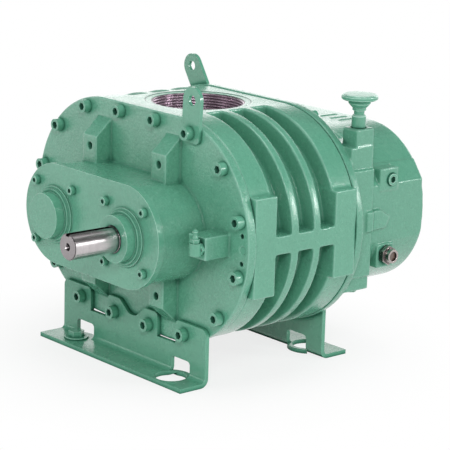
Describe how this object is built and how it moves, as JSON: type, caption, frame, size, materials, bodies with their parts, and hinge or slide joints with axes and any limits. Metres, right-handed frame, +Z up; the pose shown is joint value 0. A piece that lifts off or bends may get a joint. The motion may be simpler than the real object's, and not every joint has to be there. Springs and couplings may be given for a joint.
{
  "type": "roots blower",
  "caption": "Rotary two-lobe blower with a finned oval casing, threaded top and bottom ports, timing gears under an end cover and a keyed drive shaft, on steel feet.",
  "frame": {"origin": "on the base plane under the middle of the blower's box", "axes": "+Z up, Y along the rotor shafts with the drive shaft end at -Y, drive shaft on the +X side"},
  "size_m": [0.377, 0.425, 0.3237],
  "materials": {
    "green_enamel": "glossy pale green machine enamel over cast iron and steel",
    "rotor_iron": "machined grey iron",
    "bare_steel": "turned and ground bare steel",
    "gasket": "dark fibre sheet",
    "seal_rubber": "black oil seal rubber",
    "sight_glass": "clear window over amber oil"
  },
  "bodies": {
    "blower_body": {"casing": "green_enamel", "drive_headplate": "green_enamel", "gear_headplate": "green_enamel", "drive_end_cover": "green_enamel", "gear_cover": "green_enamel", "drive_cover_gasket": "gasket", "gear_cover_gasket": "gasket", "bearing_clamp_rings": "bare_steel", "clamp_ring_screws": "bare_steel", "drive_front_outer_race": "bare_steel", "driven_front_outer_race": "bare_steel", "drive_rear_outer_race": "bare_steel", "driven_rear_outer_race": "bare_steel", "drive_shaft_seal": "seal_rubber", "front_oil_seals": "seal_rubber", "rear_oil_seals": "seal_rubber", "drive_headplate_screws": "green_enamel", "gear_headplate_screws": "green_enamel", "front_foot_screws": "green_enamel", "rear_foot_screws": "green_enamel", "drive_cover_screws": "green_enamel", "gear_cover_screws": "green_enamel", "front_dowels": "green_enamel", "rear_dowels": "green_enamel", "front_foot": "green_enamel", "rear_foot": "green_enamel", "front_lug": "green_enamel", "rear_lug": "green_enamel", "hold_down_bolt": "green_enamel", "hold_down_washer": "green_enamel", "hold_down_bushing": "green_enamel", "breather_pipe": "green_enamel", "breather_cap": "green_enamel", "oil_fill_plug": "green_enamel", "oil_sight_fitting": "bare_steel", "oil_sight_glass": "sight_glass", "oil_drain_plug": "green_enamel", "grease_elbow": "green_enamel", "grease_nipple": "green_enamel"},
    "drive_rotor_set": {"drive_shaft": "bare_steel", "drive_rotor": "rotor_iron", "drive_gear": "bare_steel", "drive_gear_key": "bare_steel", "drive_gear_nut": "bare_steel", "drive_front_inner_race": "bare_steel", "drive_rear_inner_race": "bare_steel"},
    "driven_rotor_set": {"driven_shaft": "bare_steel", "driven_rotor": "rotor_iron", "driven_gear": "bare_steel", "driven_gear_key": "bare_steel", "driven_gear_nut": "bare_steel", "driven_front_inner_race": "bare_steel", "driven_rear_inner_race": "bare_steel"},
    "drive_cages": {"drive_front_balls": "bare_steel", "drive_rear_balls": "bare_steel"},
    "driven_cages": {"driven_front_balls": "bare_steel", "driven_rear_balls": "bare_steel"}
  },
  "joints": [
    {"name": "drive_spin", "type": "hinge", "parent": "blower_body", "child": "drive_rotor_set", "pos_m": [0.0635, 0, 0.163], "axis": [0, 1, 0], "continuous": true},
    {"name": "driven_spin", "type": "hinge", "parent": "blower_body", "child": "driven_rotor_set", "pos_m": [-0.0635, 0, 0.163], "axis": [0, 1, 0], "continuous": true},
    {"name": "drive_cage_spin", "type": "hinge", "parent": "blower_body", "child": "drive_cages", "pos_m": [0.0635, 0, 0.163], "axis": [0, 1, 0], "continuous": true},
    {"name": "driven_cage_spin", "type": "hinge", "parent": "blower_body", "child": "driven_cages", "pos_m": [-0.0635, 0, 0.163], "axis": [0, 1, 0], "continuous": true}
  ],
  "couplings": [
    {"joint": "driven_spin", "follows": "drive_spin", "ratio": -1},
    {"joint": "drive_cage_spin", "follows": "drive_spin", "ratio": 0.383},
    {"joint": "driven_cage_spin", "follows": "drive_spin", "ratio": -0.383}
  ]
}
